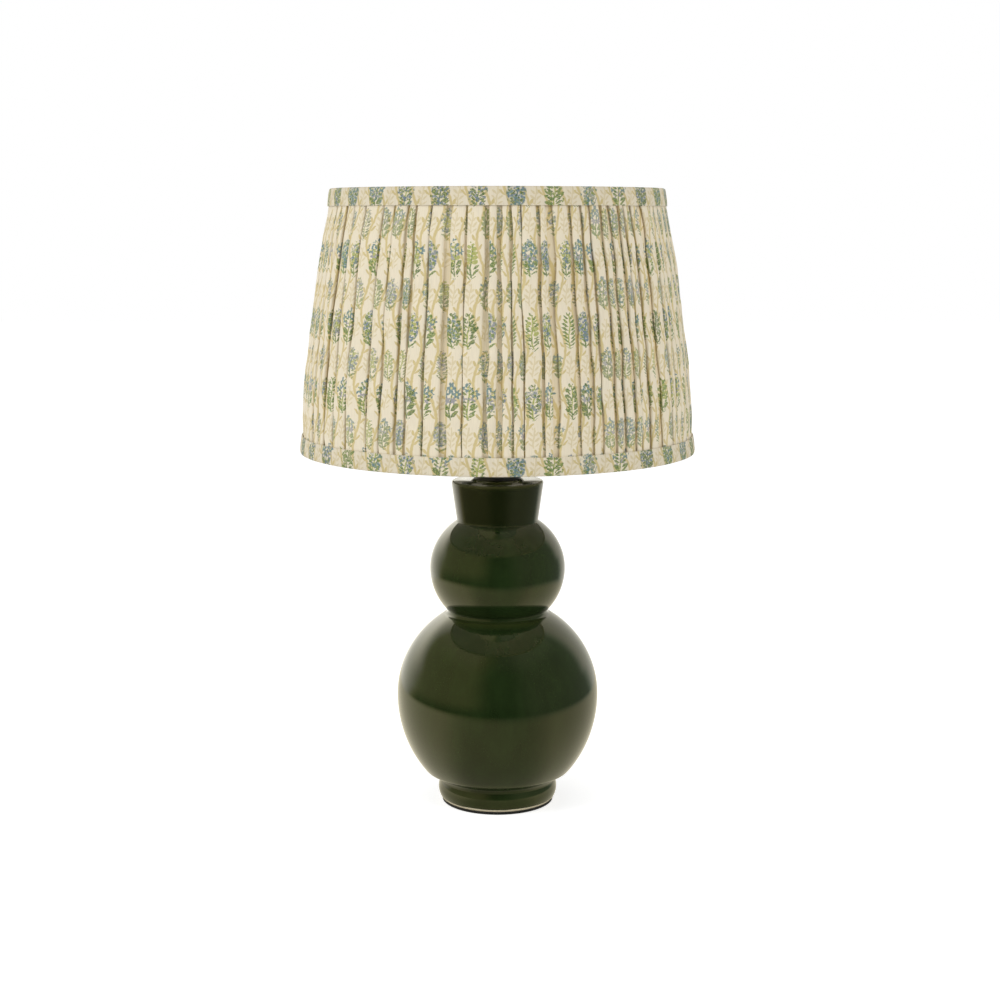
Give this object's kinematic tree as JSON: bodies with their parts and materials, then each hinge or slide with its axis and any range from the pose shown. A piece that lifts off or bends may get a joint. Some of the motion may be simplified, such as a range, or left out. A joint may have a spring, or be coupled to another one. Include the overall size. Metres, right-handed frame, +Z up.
{
  "type": "table lamp",
  "caption": "Table lamp with a double gourd ceramic base in dark green glaze and a cone shade of pleated printed cloth on a harp, held by a finial.",
  "frame": {"origin": "centre of the underside of the base pad", "axes": "+Z up along the lamp's axis, -Y to the front of the lamp, the harp's legs on +X and -X, the cord hole on +Y"},
  "size_m": [0.2784, 0.2784, 0.4381],
  "materials": {
    "pad_rubber": "matt black rubber",
    "glazed_gourd": "deep olive green gloss glaze, bare clay at the foot's edge",
    "zinc_steel": "plain zinc plated",
    "dark_metal": "satin black",
    "card": "insulating card",
    "moulded_core": "dark moulded resin",
    "contact_brass": "plain",
    "bright_aluminium": "bright",
    "dark_plastic": "black moulded",
    "dark_glass": "dark moulded glass",
    "solder": "dull solder",
    "frosted_glass": "frosted white",
    "white_wire": "white coated wire",
    "liner_sheet": "translucent off-white sheet",
    "printed_cloth": null,
    "printed_trim": "the same cloth laid flat"
  },
  "bodies": {
    "lamp_base": {"base_pad": "pad_rubber", "gourd_body": "glazed_gourd", "cord_grommet": "pad_rubber", "threaded_rod": "zinc_steel", "bottom_washer": "zinc_steel", "bottom_nut": "zinc_steel", "neck_gasket": "pad_rubber", "neck_cap": "dark_metal", "harp_saddle": "dark_metal", "lock_nut": "zinc_steel", "socket_cap": "dark_metal", "set_screw": "zinc_steel", "socket_shell": "dark_metal", "socket_liner": "card", "socket_core": "moulded_core", "terminal_screws": "contact_brass", "screw_shell": "bright_aluminium", "center_contact": "contact_brass"},
    "switch": {"switch_shaft": "contact_brass", "switch_knob": "dark_plastic"},
    "bulb": {"bulb_base": "bright_aluminium", "bulb_insulator": "dark_glass", "bulb_contact": "solder", "bulb_globe": "frosted_glass"},
    "harp_loop": {"harp": "dark_metal"},
    "ferrule_a": {"ferrule_left": "dark_metal"},
    "ferrule_b": {"ferrule_right": "dark_metal"},
    "stud": {"harp_stud": "dark_metal"},
    "shade": {"spider": "white_wire", "bottom_ring": "white_wire", "shade_liner": "liner_sheet", "pleated_fabric": "printed_cloth", "top_trim": "printed_trim", "bottom_trim": "printed_trim"},
    "finial_knob": {"finial": "dark_metal"}
  },
  "joints": [
    {"name": "switch_turn", "type": "hinge", "parent": "lamp_base", "child": "switch", "pos_m": [0, -0.027, 0.2691], "axis": [0, -1, 0], "continuous": true},
    {"name": "bulb_unscrew", "type": "hinge", "parent": "lamp_base", "child": "bulb", "pos_m": [0, 0, 0.29], "axis": [0, 0, 1], "range_deg": [0, 1080]},
    {"name": "harp_lift", "type": "slide", "parent": "lamp_base", "child": "harp_loop", "axis": [0, 0, 1], "range_m": [0, 0.02]},
    {"name": "ferrule_left_lift", "type": "slide", "parent": "harp_loop", "child": "ferrule_a", "axis": [0, 0, 1], "range_m": [0, 0.012]},
    {"name": "ferrule_right_lift", "type": "slide", "parent": "harp_loop", "child": "ferrule_b", "axis": [0, 0, 1], "range_m": [0, 0.012]},
    {"name": "shade_turn", "type": "hinge", "parent": "harp_loop", "child": "stud", "pos_m": [0, 0, 0.4162], "axis": [0, 0, 1], "continuous": true},
    {"name": "shade_lift", "type": "slide", "parent": "stud", "child": "shade", "axis": [0, 0, 1], "range_m": [0, 0.2]},
    {"name": "finial_unscrew", "type": "hinge", "parent": "shade", "child": "finial_knob", "pos_m": [0, 0, 0.421], "axis": [0, 0, 1], "range_deg": [0, 2160]}
  ]
}
